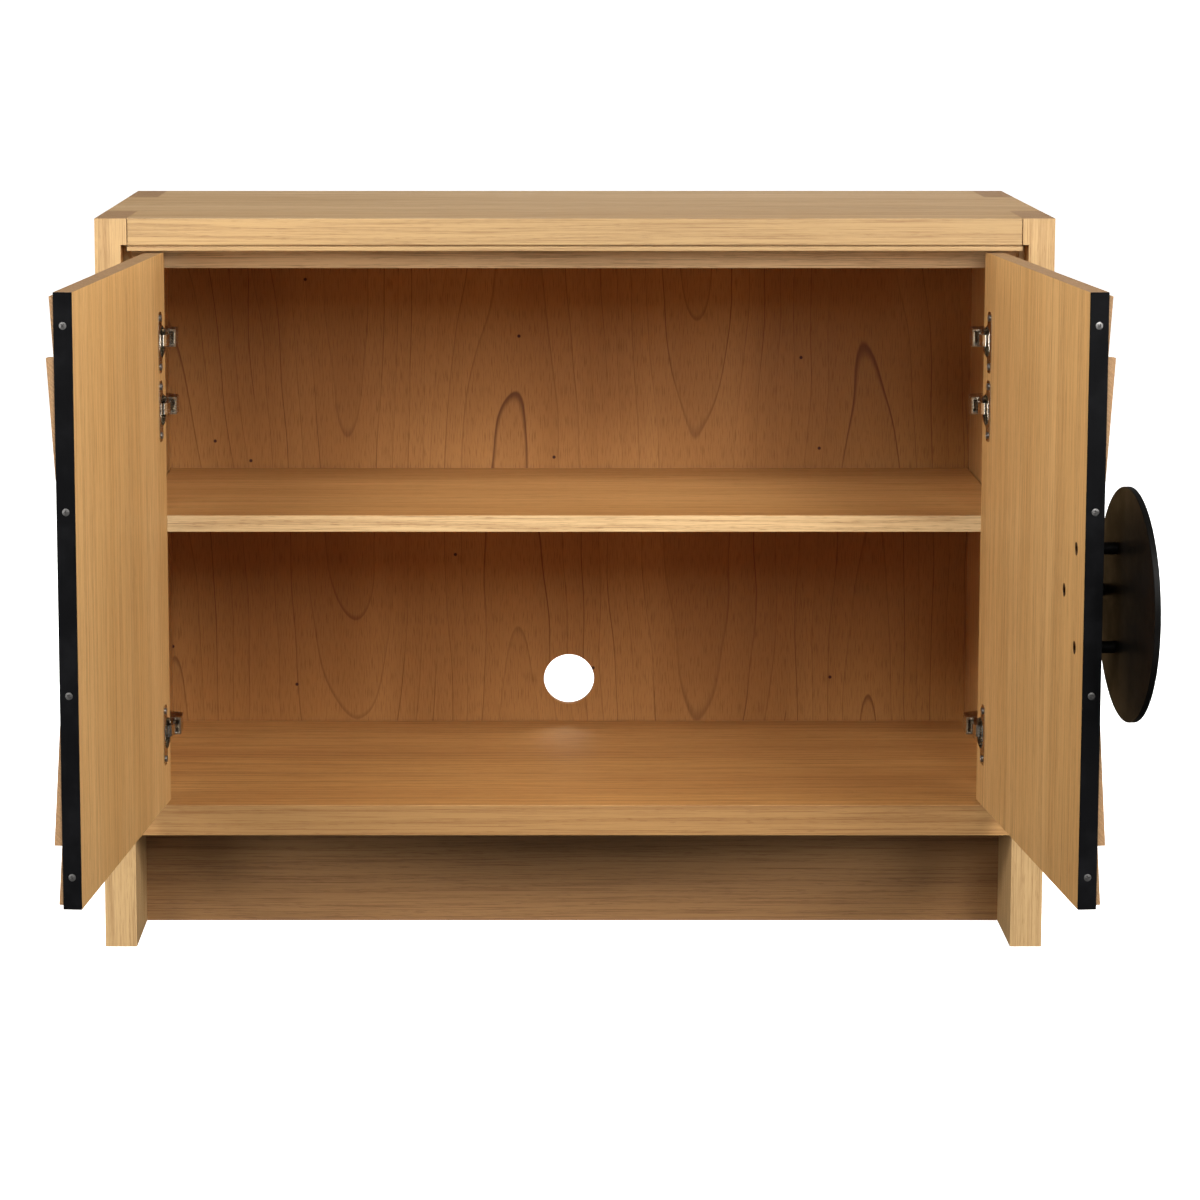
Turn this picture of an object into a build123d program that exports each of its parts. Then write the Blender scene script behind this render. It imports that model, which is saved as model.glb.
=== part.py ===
from build123d import *
import os
from math import cos, radians, sin

# Media cabinet: an oak-veneered case with a fixed bottom, one loose shelf and a recessed plinth,
# closed by two inset doors with a carved overlay.  A round metal handle plate stands on posts on
# the right-hand door.  Each door hangs on three concealed cup hinges.
# Millimetres.  X runs to the right, Y to the back, Z up.  The origin is on the floor, under the
# middle of the plinth board.  Depths named below are counted from the case's front face.
# The doors are modelled standing open, which is the rest position.

os.makedirs("parts", exist_ok=True)

# ---------------------------------------------------------------- case
WIDTH = 1016.0
DEPTH = 457.0
HEIGHT = 791.0
SIDE_THICKNESS = 34.0
INNER_HALF = WIDTH / 2 - SIDE_THICKNESS
BOARD_THICKNESS = 18.0
PLINTH_Y = 111.0
FRONT_Y = -(PLINTH_Y + BOARD_THICKNESS / 2)
TOP_THICKNESS = 36.0
CEILING_Z = HEIGHT - TOP_THICKNESS
TOP_EDGE_THICKNESS = 28.0
TOP_EDGE_Z = HEIGHT - TOP_EDGE_THICKNESS
REVEAL_HEIGHT = 2.0
REVEAL_DEPTH = 4.0
UNDER_EDGE_SETBACK = 1.0
JOINT_LINE_WIDTH = 1.0
JOINT_LINE_DEPTH = 3.0
DOOR_HEAD_ROOM = 1.5
FINGER_START = 114.0
FINGER_END = 343.0
BOTTOM_Z = 123.6
BOTTOM_THICKNESS = 33.6
FLOOR_OF_CASE_Z = BOTTOM_Z + BOTTOM_THICKNESS
REBATE_WIDTH = 6.5
REBATE_DEPTH = 31.0
BACK_THICKNESS = 10.0
BACK_Y = DEPTH - BACK_THICKNESS
BACK_HOUSING = 10.0
BACK_BOTTOM_Z = BOTTOM_Z
CABLE_HOLE_RADIUS = 30.0
CABLE_HOLE_Z = 208.0
RAIL_Y = 52.0
RAIL_DROP = 21.0
SHELF_TOP_Z = 463.0
SHELF_FRONT_Y = 70.0
SHELF_END_GAP = 1.5
SHELF_BACK_GAP = 2.0
PIN_RADIUS = 2.5
PIN_LENGTH = 16.0
PIN_INSET_Y = 40.0

# ---------------------------------------------------------------- doors
DOOR_BOTTOM_Z = 160.5
DOOR_HEIGHT = 594.0
DOOR_MID_Z = DOOR_BOTTOM_Z + DOOR_HEIGHT / 2
DOOR_WIDTH = 476.5
MEETING_LINE = 478.0
DOOR_THICKNESS = 18.0
STRIP_THICKNESS = 2.0
PANEL_WIDTH = DOOR_WIDTH - STRIP_THICKNESS
OVERLAY_EDGE_GAP = 4.0
OVERLAY_HEIGHT = 9.5
INNER_RING_RISE = 8.0
FEATHER = 0.6
RING_INNER_RADIUS = 118.0
RING_STEP_RADIUS = 235.0
RING_OUTER_RADIUS = 375.0
DOOR_CORNER_RADIUS = 2.0

# ---------------------------------------------------------------- round handle
DISC_RADIUS = 112.0
DISC_THICKNESS = 6.0
DISC_STANDOFF = 21.0
DISC_EDGE_RADIUS = 0.8
POST_RADIUS = 6.0
POST_EDGE_DISTANCE = 37.0
POST_FAR_DISTANCE = 84.0
POST_HALF_SPREAD = 48.0
ACCESS_RADIUS = 6.5
ACCESS_DEPTH = 4.0
BOLT_RADIUS = 2.5
BOLT_HEAD_RADIUS = 6.1
BOLT_HEAD_HEIGHT = 3.7
BOLT_SOCKET_RADIUS = 2.9
BOLT_SOCKET_DEPTH = 2.2
BOLT_REACH = 12.0

# ---------------------------------------------------------------- hinges
HINGE_HEIGHTS = {"upper": 661.0, "middle": 588.0, "lower": 238.0}
OPENING_ANGLE = 95.0
LINK_CLOSED_ANGLE = 203.83
LINK_SWING = 54.0
ARM_PIVOT = (39.7, 38.0)
CUP_PIVOT_EDGE = 12.0
CUP_PIVOT_DEPTH = 4.5
LINK_LENGTH = 34.65
LINK_HALF_WIDTH = 6.0
LINK_THICKNESS = 2.4
LINK_BOW = 6.6
LINK_BEND_RADIUS = 1.6
LINK_BENDS = ((8.0, 3.5), (22.65, LINK_BOW), (31.15, LINK_BOW), (LINK_LENGTH, 4.0))
EYE_RADIUS = 3.0
HINGE_PIN_RADIUS = 1.5
PIN_CLEARANCE = 0.05
CUP_CENTRE = 22.5
CUP_BORE_RADIUS = 17.5
CUP_RADIUS = 17.3
CUP_WALL = 1.1
CUP_DEPTH = 12.8
CUP_CLEARANCE = 0.2
FLANGE_THICKNESS = 0.9
FLANGE_HALF_HEIGHT = 32.5
FLANGE_REACH = 19.0
FLANGE_WAIST = 12.0
FLANGE_SHOULDER = 18.0
EAR_HALF_WIDTH = 8.0
EAR_CHAMFER = 3.0
CUP_SCREW_SPREAD = 26.0
CUP_SCREW_X = 32.0
CUP_PIN_HALF = 11.2
ARM_HALF_WIDTH = 9.5
NOSE_LEAD = 7.0
NOSE_RISE = 8.3
NOSE_DROP = 8.7
NOSE_WEB = 2.2
FORK_DEPTH = 10.0
CRANK_INNER = 20.0
CRANK_OUTER = 14.0
CRANK_RUN = 2.0
ARM_OVERHANG = 4.0
SLOT_HALF_WIDTH = 6.6
PLATE_THICKNESS = 9.0
PLATE_WING_THICKNESS = 2.6
PLATE_HALF_HEIGHT = 29.0
PLATE_START_Y = 74.0
PLATE_END_Y = 104.0
PLATE_SCREW_SPREAD = 22.4
PLATE_CORNER_RADIUS = 2.0
WING_CORNER_RADIUS = 6.0
ARM_SCREW_Y = 92.0
ARM_BASE_HEIGHT = 19.0
WOOD_SCREW_RADIUS = 1.8
WOOD_SCREW_HEAD_RADIUS = 3.6
FLAT_HEAD_HEIGHT = 1.2
ARM_HEAD_HEIGHT = 1.6
STRIP_SCREW_END = 31.5
STRIP_SCREW_PITCH = 177.0
STRIP_SCREW_COUNT = 4
STRIP_SCREW_RECESS = 0.2

LEFT = -1
RIGHT = 1
SIDES = {LEFT: "left", RIGHT: "right"}
OPEN_LINK_ANGLE = LINK_CLOSED_ANGLE + LINK_SWING

# Floor plane whose y is the depth behind the front face.
floor_plane = Plane(origin=(0, FRONT_Y, 0))


def save(part, name):
    part.label = name
    export_step(part, f"parts/{name}.step")


def side_plane(side, height):
    """Plane on a side panel's inner face: x towards the cabinet's middle, y to the back."""
    return Plane(
        origin=(side * INNER_HALF, FRONT_Y, height),
        x_dir=(-side, 0, 0),
        z_dir=(0, 0, -side),
    )


def inside(plane, local_plane):
    """A plane given in the coordinates of another plane."""
    return Plane(plane.location * local_plane.location)


def open_door_plane(side):
    """Inner face of the open door: x from hinge edge to free edge, z out of the outer face."""
    turn = radians(-OPENING_ANGLE)
    pivot_x = ARM_PIVOT[0] + LINK_LENGTH * cos(radians(OPEN_LINK_ANGLE))
    pivot_y = ARM_PIVOT[1] + LINK_LENGTH * sin(radians(OPEN_LINK_ANGLE))
    along = (cos(turn), sin(turn))
    outward = (sin(turn), -cos(turn))
    corner = (
        pivot_x - CUP_PIVOT_EDGE * along[0] - CUP_PIVOT_DEPTH * outward[0],
        pivot_y - CUP_PIVOT_EDGE * along[1] - CUP_PIVOT_DEPTH * outward[1],
    )
    local = Plane(
        origin=(corner[0], corner[1], 0),
        x_dir=(along[0], along[1], 0),
        z_dir=(outward[0], outward[1], 0),
    )
    return inside(side_plane(side, DOOR_MID_Z), local)


# ================================================================ case
def side_panel(side):
    centre_x = side * (INNER_HALF + SIDE_THICKNESS / 2)
    rebate_x = side * (INNER_HALF + REBATE_WIDTH / 2)
    housing_x = side * (INNER_HALF + BACK_HOUSING / 2)
    with BuildPart() as panel:
        with BuildSketch(floor_plane):
            with Locations((centre_x, DEPTH / 2)):
                Rectangle(SIDE_THICKNESS, DEPTH)
        extrude(amount=HEIGHT)
        with BuildSketch(floor_plane.offset(CEILING_Z)):
            with Locations((centre_x, (FINGER_START + FINGER_END) / 2)):
                Rectangle(SIDE_THICKNESS, FINGER_END - FINGER_START)
        extrude(amount=TOP_THICKNESS, mode=Mode.SUBTRACT)
        with BuildSketch(floor_plane.offset(FLOOR_OF_CASE_Z)):
            with Locations((rebate_x, REBATE_DEPTH / 2)):
                Rectangle(REBATE_WIDTH, REBATE_DEPTH)
        extrude(amount=TOP_EDGE_Z - FLOOR_OF_CASE_Z, mode=Mode.SUBTRACT)
        with BuildSketch(floor_plane.offset(BACK_BOTTOM_Z)):
            with Locations((housing_x, (BACK_Y + DEPTH) / 2)):
                Rectangle(BACK_HOUSING, BACK_THICKNESS)
        extrude(amount=CEILING_Z - BACK_BOTTOM_Z, mode=Mode.SUBTRACT)
        for y in shelf_pin_rows():
            inner_face = Plane(origin=(side * INNER_HALF, FRONT_Y + y, pin_z()), z_dir=(-side, 0, 0))
            with Locations(inner_face):
                Hole(PIN_RADIUS, PIN_LENGTH / 2)
    return panel.part


def shelf_pin_rows():
    return (SHELF_FRONT_Y + PIN_INSET_Y, BACK_Y - PIN_INSET_Y)


def pin_z():
    return SHELF_TOP_Z - BOARD_THICKNESS - PIN_RADIUS


for side, word in SIDES.items():
    save(side_panel(side), f"{word}_side_panel")

with BuildPart() as top_panel:
    with BuildSketch(floor_plane.offset(CEILING_Z)):
        with Locations((0, DEPTH / 2)):
            Rectangle(2 * INNER_HALF, DEPTH)
        with Locations((0, (FINGER_START + FINGER_END) / 2)):
            Rectangle(WIDTH, FINGER_END - FINGER_START)
    extrude(amount=TOP_THICKNESS)
    # Head room over the doors, a shadow groove under the front edge, and a thin strip between them.
    with BuildSketch(floor_plane.offset(CEILING_Z)):
        with Locations((0, REBATE_DEPTH / 2)):
            Rectangle(2 * INNER_HALF, REBATE_DEPTH)
    extrude(amount=DOOR_HEAD_ROOM, mode=Mode.SUBTRACT)
    with BuildSketch(floor_plane.offset(CEILING_Z)):
        with Locations((0, UNDER_EDGE_SETBACK / 2)):
            Rectangle(2 * INNER_HALF, UNDER_EDGE_SETBACK)
    extrude(amount=TOP_EDGE_Z - CEILING_Z, mode=Mode.SUBTRACT)
    with BuildSketch(floor_plane.offset(TOP_EDGE_Z)):
        with Locations((0, REVEAL_DEPTH / 2)):
            Rectangle(2 * INNER_HALF, REVEAL_DEPTH)
    extrude(amount=-REVEAL_HEIGHT, mode=Mode.SUBTRACT)
    # Fine open lines where the front edge meets the side panels.
    with BuildSketch(floor_plane.offset(TOP_EDGE_Z)):
        with Locations(*[(s * (INNER_HALF - JOINT_LINE_WIDTH / 2), JOINT_LINE_DEPTH / 2) for s in SIDES]):
            Rectangle(JOINT_LINE_WIDTH, JOINT_LINE_DEPTH)
    extrude(amount=TOP_EDGE_THICKNESS, mode=Mode.SUBTRACT)
save(top_panel.part, "top_panel")

with BuildPart() as bottom_panel:
    with BuildSketch(floor_plane.offset(BOTTOM_Z)):
        with Locations((0, BACK_Y / 2)):
            Rectangle(2 * INNER_HALF, BACK_Y)
    extrude(amount=BOTTOM_THICKNESS)
save(bottom_panel.part, "bottom_panel")

BACK_WIDTH = 2 * (INNER_HALF + BACK_HOUSING)
BACK_SCREW_X = BACK_WIDTH / 2 - BACK_HOUSING / 2
BACK_SCREW_ROWS = 5
BACK_SCREW_TOP_MARGIN = 40.0
BACK_SCREW_PITCH = (CEILING_Z - BACK_BOTTOM_Z - 2 * BACK_SCREW_TOP_MARGIN) / (BACK_SCREW_ROWS - 1)
back_screw_heights = [
    BACK_BOTTOM_Z + BACK_SCREW_TOP_MARGIN + i * BACK_SCREW_PITCH for i in range(BACK_SCREW_ROWS)
]
back_plane = Plane(origin=(0, FRONT_Y + DEPTH, 0), x_dir=(-1, 0, 0), z_dir=(0, 1, 0))
back_screw_places = [(s * BACK_SCREW_X, z) for s in SIDES for z in back_screw_heights]
HEAD_DEPTH = 2.2

with BuildPart() as back_panel:
    with BuildSketch(back_plane):
        with Locations((0, (BACK_BOTTOM_Z + CEILING_Z) / 2)):
            Rectangle(BACK_WIDTH, CEILING_Z - BACK_BOTTOM_Z)
        with Locations((0, CABLE_HOLE_Z)):
            Circle(CABLE_HOLE_RADIUS, mode=Mode.SUBTRACT)
    extrude(amount=-BACK_THICKNESS)
    with BuildSketch(back_plane):
        with Locations(*back_screw_places):
            Circle(WOOD_SCREW_HEAD_RADIUS)
    extrude(amount=-HEAD_DEPTH, mode=Mode.SUBTRACT)
    with BuildSketch(back_plane):
        with Locations(*back_screw_places):
            Circle(WOOD_SCREW_RADIUS)
    extrude(amount=-BACK_THICKNESS, mode=Mode.SUBTRACT)
save(back_panel.part, "back_panel")

with BuildPart() as back_panel_screws:
    with BuildSketch(back_plane):
        with Locations(*back_screw_places):
            Circle(WOOD_SCREW_HEAD_RADIUS)
    extrude(amount=-HEAD_DEPTH)
    with BuildSketch(back_plane):
        with Locations(*back_screw_places):
            Circle(WOOD_SCREW_RADIUS)
    extrude(amount=-BACK_THICKNESS)
save(back_panel_screws.part, "back_panel_screws")

with BuildPart() as shelf:
    shelf_back = BACK_Y - SHELF_BACK_GAP
    with BuildSketch(floor_plane.offset(SHELF_TOP_Z)):
        with Locations((0, (SHELF_FRONT_Y + shelf_back) / 2)):
            Rectangle(2 * (INNER_HALF - SHELF_END_GAP), shelf_back - SHELF_FRONT_Y)
    extrude(amount=-BOARD_THICKNESS)
save(shelf.part, "shelf")

with BuildPart() as shelf_pins:
    tip = INNER_HALF + PIN_LENGTH / 2
    for side in SIDES:
        for y in shelf_pin_rows():
            pin_end = Plane(origin=(side * tip, FRONT_Y + y, pin_z()), z_dir=(-side, 0, 0))
            with BuildSketch(pin_end):
                Circle(PIN_RADIUS)
            extrude(amount=PIN_LENGTH)
save(shelf_pins.part, "shelf_pins")

with BuildPart() as plinth_board:
    with BuildSketch(floor_plane):
        with Locations((0, PLINTH_Y + BOARD_THICKNESS / 2)):
            Rectangle(2 * INNER_HALF, BOARD_THICKNESS)
    extrude(amount=BOTTOM_Z)
save(plinth_board.part, "plinth_board")

with BuildPart() as top_front_rail:
    with BuildSketch(floor_plane.offset(CEILING_Z)):
        with Locations((0, RAIL_Y + BOARD_THICKNESS / 2)):
            Rectangle(2 * INNER_HALF, BOARD_THICKNESS)
    extrude(amount=-RAIL_DROP)
save(top_front_rail.part, "top_front_rail")


# ================================================================ hinge halves on the case
def mounting_plate(side, height):
    """Cruciform plate: a tall block under the arm with two thin screw wings."""
    plane = side_plane(side, height)
    middle_y = (PLATE_START_Y + PLATE_END_Y) / 2
    face = inside(plane, Plane.YZ)
    with BuildPart() as plate:
        with BuildSketch(face):
            with Locations((middle_y, 0)):
                RectangleRounded(PLATE_END_Y - PLATE_START_Y, 2 * ARM_HALF_WIDTH, PLATE_CORNER_RADIUS)
        extrude(amount=PLATE_THICKNESS)
        with BuildSketch(face):
            with Locations((middle_y, 0)):
                RectangleRounded(2 * ARM_HALF_WIDTH, 2 * PLATE_HALF_HEIGHT, WING_CORNER_RADIUS)
        extrude(amount=PLATE_WING_THICKNESS)
    return plate.part


def hinge_arm(side, height):
    """Cranked arm: a low base on the plate, rising to a forked nose that holds the link pin."""
    nose_front = ARM_PIVOT[1] - NOSE_LEAD
    nose_inner = ARM_PIVOT[0] + NOSE_RISE
    nose_outer = ARM_PIVOT[0] - NOSE_DROP
    fork_root = ARM_PIVOT[1] + FORK_DEPTH
    slot_inner = nose_inner - NOSE_WEB
    slot_outer = ARM_PIVOT[0] - NOSE_RISE - NOSE_WEB
    with BuildPart() as arm:
        with BuildSketch(side_plane(side, height)):
            with BuildLine():
                Polyline(
                    (nose_inner, nose_front),
                    (nose_inner, ARM_PIVOT[1] + CRANK_INNER),
                    (ARM_BASE_HEIGHT, PLATE_START_Y + CRANK_RUN),
                    (ARM_BASE_HEIGHT, PLATE_END_Y),
                    (PLATE_THICKNESS, PLATE_END_Y),
                    (PLATE_THICKNESS, PLATE_START_Y - ARM_OVERHANG),
                    (nose_outer, ARM_PIVOT[1] + CRANK_OUTER),
                    (nose_outer, nose_front),
                    close=True,
                )
            make_face()
        extrude(amount=ARM_HALF_WIDTH, both=True)
        with BuildSketch(side_plane(side, height)):
            with BuildLine():
                Polyline(
                    (slot_inner, nose_front),
                    (slot_inner, fork_root),
                    (slot_outer, fork_root),
                    (slot_outer, nose_front),
                    close=True,
                )
            make_face()
        extrude(amount=SLOT_HALF_WIDTH, both=True, mode=Mode.SUBTRACT)
        with BuildSketch(side_plane(side, height)):
            with Locations(ARM_PIVOT):
                Circle(HINGE_PIN_RADIUS)
        extrude(amount=ARM_HALF_WIDTH, both=True, mode=Mode.SUBTRACT)
        with BuildSketch(inside(side_plane(side, height), Plane.YZ.offset(ARM_BASE_HEIGHT))):
            with Locations((ARM_SCREW_Y, 0)):
                Circle(WOOD_SCREW_RADIUS)
        extrude(amount=-ARM_BASE_HEIGHT, mode=Mode.SUBTRACT)
    return arm.part


def gooseneck_link(side, height):
    """Bent strip with an eye at each end; it clears the door's edge and folds into the cup."""
    link_frame = Plane(
        origin=(ARM_PIVOT[0], ARM_PIVOT[1], 0),
        x_dir=(cos(radians(OPEN_LINK_ANGLE)), sin(radians(OPEN_LINK_ANGLE)), 0),
        z_dir=(0, 0, 1),
    )
    with BuildPart() as link:
        with BuildSketch(inside(side_plane(side, height), link_frame)):
            with BuildLine():
                FilletPolyline((0, 0), *LINK_BENDS, (LINK_LENGTH, 0), radius=LINK_BEND_RADIUS)
            trace(line_width=LINK_THICKNESS)
            with Locations((0, 0), (LINK_LENGTH, 0)):
                Circle(EYE_RADIUS)
                Circle(HINGE_PIN_RADIUS + PIN_CLEARANCE, mode=Mode.SUBTRACT)
        extrude(amount=LINK_HALF_WIDTH, both=True)
    return link.part


for side, word in SIDES.items():
    for level, height in HINGE_HEIGHTS.items():
        save(mounting_plate(side, height), f"{word}_{level}_hinge_plate")
        save(hinge_arm(side, height), f"{word}_{level}_hinge_arm")
        save(gooseneck_link(side, height), f"{word}_{level}_hinge_link")

    with BuildPart() as arm_pins:
        for height in HINGE_HEIGHTS.values():
            with BuildSketch(side_plane(side, height)):
                with Locations(ARM_PIVOT):
                    Circle(HINGE_PIN_RADIUS)
            extrude(amount=ARM_HALF_WIDTH, both=True)
    save(arm_pins.part, f"{word}_hinge_arm_pins")

    with BuildPart() as plate_screws:
        wing_top = inside(side_plane(side, 0), Plane.YZ.offset(PLATE_WING_THICKNESS))
        middle_y = (PLATE_START_Y + PLATE_END_Y) / 2
        heights = [h + s * PLATE_SCREW_SPREAD for h in HINGE_HEIGHTS.values() for s in SIDES]
        with BuildSketch(wing_top):
            with Locations(*[(middle_y, -side * h) for h in heights]):
                Circle(WOOD_SCREW_HEAD_RADIUS)
        extrude(amount=FLAT_HEAD_HEIGHT)
    save(plate_screws.part, f"{word}_plate_screws")

    with BuildPart() as arm_screws:
        base_top = inside(side_plane(side, 0), Plane.YZ.offset(ARM_BASE_HEIGHT))
        with BuildSketch(base_top):
            with Locations(*[(ARM_SCREW_Y, -side * h) for h in HINGE_HEIGHTS.values()]):
                Circle(WOOD_SCREW_HEAD_RADIUS)
        extrude(amount=ARM_HEAD_HEIGHT)
        with BuildSketch(base_top):
            with Locations(*[(ARM_SCREW_Y, -side * h) for h in HINGE_HEIGHTS.values()]):
                Circle(WOOD_SCREW_RADIUS)
        extrude(amount=PLATE_THICKNESS - ARM_BASE_HEIGHT)
    save(arm_screws.part, f"{word}_arm_screws")


# ================================================================ doors
def hinge_offsets(side):
    """Heights of the hinges along the door plane's own y axis."""
    return [-side * (height - DOOR_MID_Z) for height in HINGE_HEIGHTS.values()]


def post_places():
    return [
        (DOOR_WIDTH - POST_EDGE_DISTANCE, POST_HALF_SPREAD),
        (DOOR_WIDTH - POST_EDGE_DISTANCE, -POST_HALF_SPREAD),
        (DOOR_WIDTH - POST_FAR_DISTANCE, 0),
    ]


def strip_screw_offsets():
    first = DOOR_HEIGHT / 2 - STRIP_SCREW_END
    return [first - i * STRIP_SCREW_PITCH for i in range(STRIP_SCREW_COUNT)]


def door_panel(side):
    plane = open_door_plane(side)
    with BuildPart() as panel:
        with BuildSketch(plane):
            with Locations((PANEL_WIDTH / 2, 0)):
                Rectangle(PANEL_WIDTH, DOOR_HEIGHT)
        extrude(amount=DOOR_THICKNESS)
        hinge_edges = panel.edges().filter_by(Axis.Z).sort_by_distance(plane.origin)[:2]
        fillet(hinge_edges, DOOR_CORNER_RADIUS)
        with BuildSketch(plane):
            with Locations(*[(CUP_CENTRE, y) for y in hinge_offsets(side)]):
                Circle(CUP_BORE_RADIUS)
        extrude(amount=CUP_DEPTH + CUP_CLEARANCE, mode=Mode.SUBTRACT)
        if side == RIGHT:
            with BuildSketch(plane):
                with Locations(*post_places()):
                    Circle(ACCESS_RADIUS)
            extrude(amount=ACCESS_DEPTH, mode=Mode.SUBTRACT)
            with BuildSketch(plane):
                with Locations(*post_places()):
                    Circle(BOLT_RADIUS)
            extrude(amount=DOOR_THICKNESS, mode=Mode.SUBTRACT)
    return panel.part


def overlay(side, profile):
    """Ring turned about the handle's centre and trimmed to the door's outer face."""
    plane = open_door_plane(side)
    ring_axis = inside(plane, Plane(origin=(MEETING_LINE, 0, 0), x_dir=(-1, 0, 0), z_dir=(0, 1, 0)))
    trim_width = PANEL_WIDTH - OVERLAY_EDGE_GAP
    with BuildPart() as piece:
        with BuildSketch(ring_axis):
            with BuildLine():
                Polyline(*profile, close=True)
            make_face()
        revolve(axis=Axis(ring_axis.origin, ring_axis.y_dir))
        with BuildSketch(plane.offset(DOOR_THICKNESS)):
            with Locations((OVERLAY_EDGE_GAP + trim_width / 2, 0)):
                Rectangle(trim_width, DOOR_HEIGHT - 2 * OVERLAY_EDGE_GAP)
        extrude(amount=2 * OVERLAY_HEIGHT, mode=Mode.INTERSECT)
    return piece.part


def ramp(inner_radius, outer_radius, start, rise):
    return [
        (inner_radius, DOOR_THICKNESS),
        (outer_radius, DOOR_THICKNESS),
        (outer_radius, DOOR_THICKNESS + rise),
        (inner_radius, DOOR_THICKNESS + start),
    ]


def flange_outline(offset):
    """Winged cup flange: a waisted middle with an ear for a screw at each end."""
    ear_foot = CUP_SCREW_X - EAR_HALF_WIDTH
    ear_side = CUP_SCREW_X + EAR_HALF_WIDTH
    half = [
        (CUP_CENTRE - FLANGE_REACH, FLANGE_WAIST),
        (CUP_CENTRE, FLANGE_SHOULDER),
        (ear_foot, FLANGE_HALF_HEIGHT - EAR_CHAMFER),
        (ear_foot + EAR_CHAMFER, FLANGE_HALF_HEIGHT),
        (ear_side - EAR_CHAMFER, FLANGE_HALF_HEIGHT),
        (ear_side, FLANGE_HALF_HEIGHT - EAR_CHAMFER),
        (CUP_CENTRE + FLANGE_REACH, FLANGE_WAIST),
    ]
    upper = [(x, offset + y) for x, y in half]
    lower = [(x, offset - y) for x, y in reversed(half)]
    return upper + lower


def cup_pin_plane(side, offset):
    """Middle of the link pin in a cup: z along the pin."""
    local = Plane(origin=(CUP_PIVOT_EDGE, offset, CUP_PIVOT_DEPTH), z_dir=(0, 1, 0))
    return inside(open_door_plane(side), local)


def hinge_cup(side, offset):
    plane = open_door_plane(side)
    cup_inner = CUP_RADIUS - CUP_WALL
    with BuildPart() as cup:
        with BuildSketch(plane):
            with Locations((CUP_CENTRE, offset)):
                Circle(CUP_RADIUS)
        extrude(amount=CUP_DEPTH)
        with BuildSketch(plane):
            with BuildLine():
                Polyline(*flange_outline(offset), close=True)
            make_face()
        extrude(amount=-FLANGE_THICKNESS)
        with BuildSketch(plane.offset(-FLANGE_THICKNESS)):
            with Locations((CUP_CENTRE, offset)):
                Circle(cup_inner)
        extrude(amount=FLANGE_THICKNESS + CUP_DEPTH - CUP_WALL, mode=Mode.SUBTRACT)
        with BuildSketch(cup_pin_plane(side, offset)):
            Circle(HINGE_PIN_RADIUS)
        extrude(amount=CUP_RADIUS, both=True, mode=Mode.SUBTRACT)
    return cup.part


for side, word in SIDES.items():
    plane = open_door_plane(side)
    save(door_panel(side), f"{word}_door_panel")
    inner_profile = ramp(RING_INNER_RADIUS, RING_STEP_RADIUS, FEATHER, INNER_RING_RISE)
    outer_profile = ramp(RING_STEP_RADIUS, RING_OUTER_RADIUS, FEATHER, OVERLAY_HEIGHT)
    field_profile = ramp(RING_OUTER_RADIUS, 2 * RING_OUTER_RADIUS, OVERLAY_HEIGHT, OVERLAY_HEIGHT)
    save(overlay(side, inner_profile), f"{word}_carved_inner_ring")
    save(overlay(side, outer_profile), f"{word}_carved_outer_ring")
    save(overlay(side, field_profile), f"{word}_carved_outer_field")

    edge_plane = inside(plane, Plane.YZ.offset(DOOR_WIDTH))
    strip_places = [(y, DOOR_THICKNESS / 2) for y in strip_screw_offsets()]
    with BuildPart() as edge_strip:
        with BuildSketch(edge_plane):
            with Locations((0, DOOR_THICKNESS / 2)):
                Rectangle(DOOR_HEIGHT, DOOR_THICKNESS)
            with Locations(*strip_places):
                Circle(WOOD_SCREW_HEAD_RADIUS, mode=Mode.SUBTRACT)
        extrude(amount=-STRIP_THICKNESS)
    save(edge_strip.part, f"{word}_edge_strip")

    with BuildPart() as strip_screws:
        with BuildSketch(edge_plane.offset(-STRIP_SCREW_RECESS)):
            with Locations(*strip_places):
                Circle(WOOD_SCREW_HEAD_RADIUS)
        extrude(amount=STRIP_SCREW_RECESS - STRIP_THICKNESS)
    save(strip_screws.part, f"{word}_edge_strip_screws")

    for level, offset in zip(HINGE_HEIGHTS, hinge_offsets(side)):
        save(hinge_cup(side, offset), f"{word}_{level}_hinge_cup")

    with BuildPart() as cup_pins:
        for offset in hinge_offsets(side):
            with BuildSketch(cup_pin_plane(side, offset)):
                Circle(HINGE_PIN_RADIUS)
            extrude(amount=CUP_PIN_HALF, both=True)
    save(cup_pins.part, f"{word}_hinge_cup_pins")

    cup_screw_offsets = [y + s * CUP_SCREW_SPREAD for y in hinge_offsets(side) for s in SIDES]
    with BuildPart() as cup_screws:
        with BuildSketch(plane.offset(-FLANGE_THICKNESS)):
            with Locations(*[(CUP_SCREW_X, y) for y in cup_screw_offsets]):
                Circle(WOOD_SCREW_HEAD_RADIUS)
        extrude(amount=-FLAT_HEAD_HEIGHT)
    save(cup_screws.part, f"{word}_hinge_cup_screws")

# ================================================================ round handle on the right door
right_plane = open_door_plane(RIGHT)
disc_back = DOOR_THICKNESS + DISC_STANDOFF

with BuildPart() as handle_disc:
    with BuildSketch(right_plane.offset(disc_back)):
        with Locations((MEETING_LINE, 0)):
            Circle(DISC_RADIUS)
    extrude(amount=DISC_THICKNESS)
    fillet(handle_disc.edges(), DISC_EDGE_RADIUS)
save(handle_disc.part, "handle_disc")

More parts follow.
